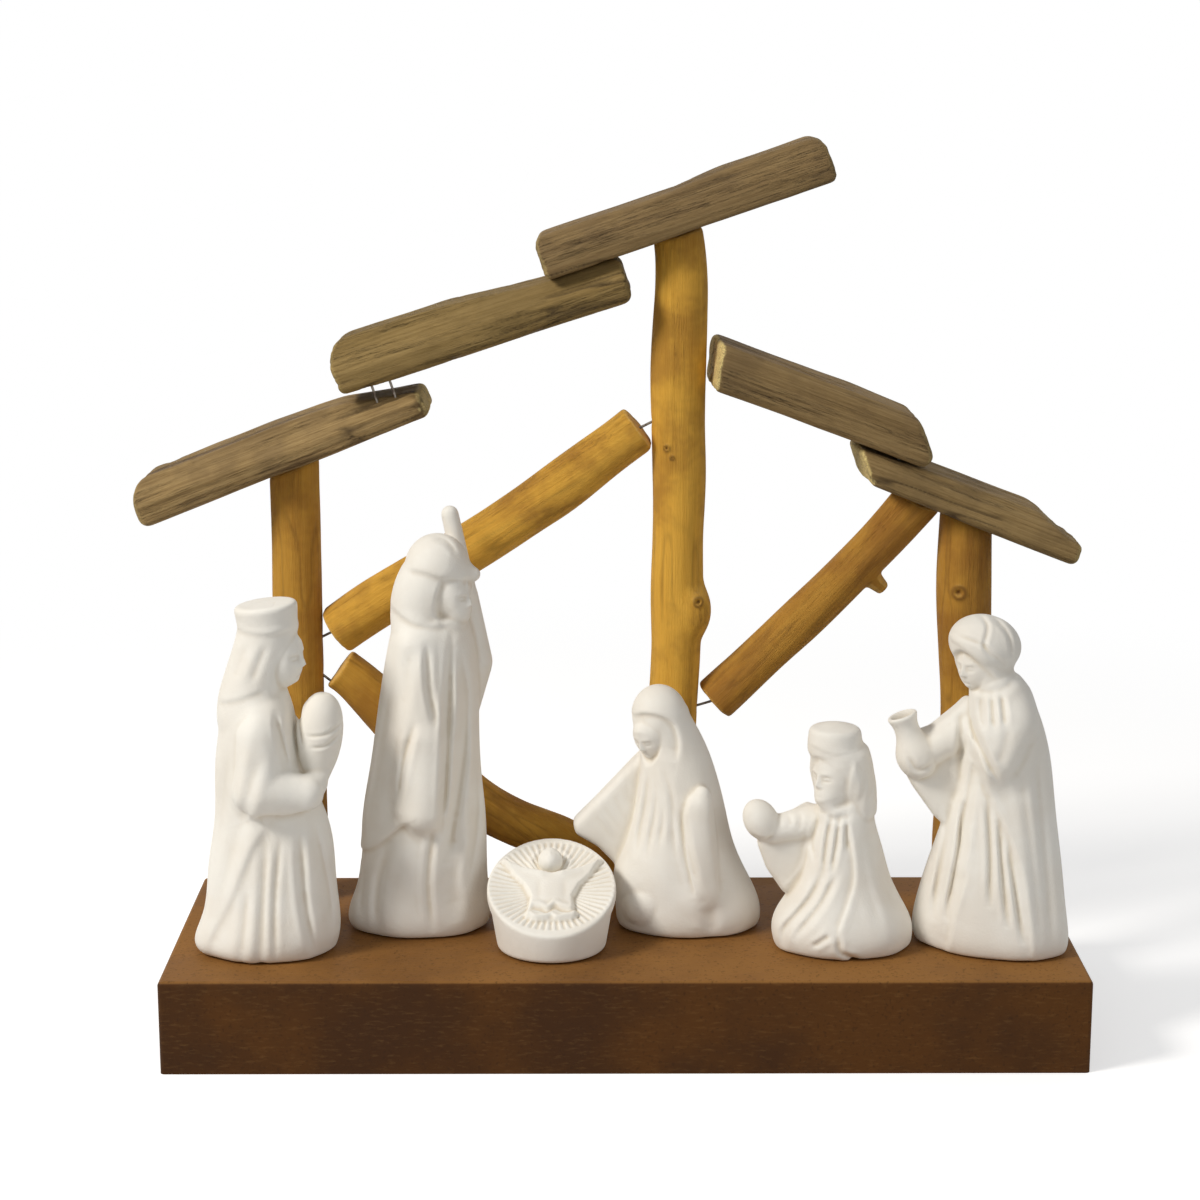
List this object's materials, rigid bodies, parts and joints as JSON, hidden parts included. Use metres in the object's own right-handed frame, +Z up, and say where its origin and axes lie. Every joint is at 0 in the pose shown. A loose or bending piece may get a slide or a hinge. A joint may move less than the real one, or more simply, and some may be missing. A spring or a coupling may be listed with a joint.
{
  "type": "wooden nativity stable",
  "caption": "Open nativity stable of branch posts, slanting branch braces and stepped roof slats on a flat board, with white bisque figures glued round a cradle.",
  "frame": {"origin": "middle of the board's underside", "axes": "+X along the board to the viewer's right, +Y to the back, +Z up"},
  "size_m": [0.2553, 0.085, 0.2354],
  "materials": {
    "board": "oiled fibreboard, matt",
    "peeled_branch": "peeled, matt",
    "weathered_slat": "weathered, matt",
    "brad_steel": "dull wire",
    "screw_steel": "zinc plated",
    "glue": "dried glue",
    "bisque": "unglazed white bisque"
  },
  "bodies": {
    "root": {"base_board": "board", "left_post": "peeled_branch", "centre_post": "peeled_branch", "right_post": "peeled_branch", "upper_left_brace": "peeled_branch", "lower_left_brace": "peeled_branch", "right_brace": "peeled_branch", "roof_slat_peak": "weathered_slat", "roof_slat_upper_left": "weathered_slat", "roof_slat_lower_left": "weathered_slat", "roof_slat_upper_right": "weathered_slat", "roof_slat_lower_right": "weathered_slat", "brads": "brad_steel", "post_screws": "screw_steel", "glue_spots": "glue", "standing_king": "bisque", "staff_bearer": "bisque", "infant_in_cradle": "bisque", "kneeling_mother": "bisque", "kneeling_king": "bisque", "turbaned_king": "bisque"}
  },
  "joints": []
}
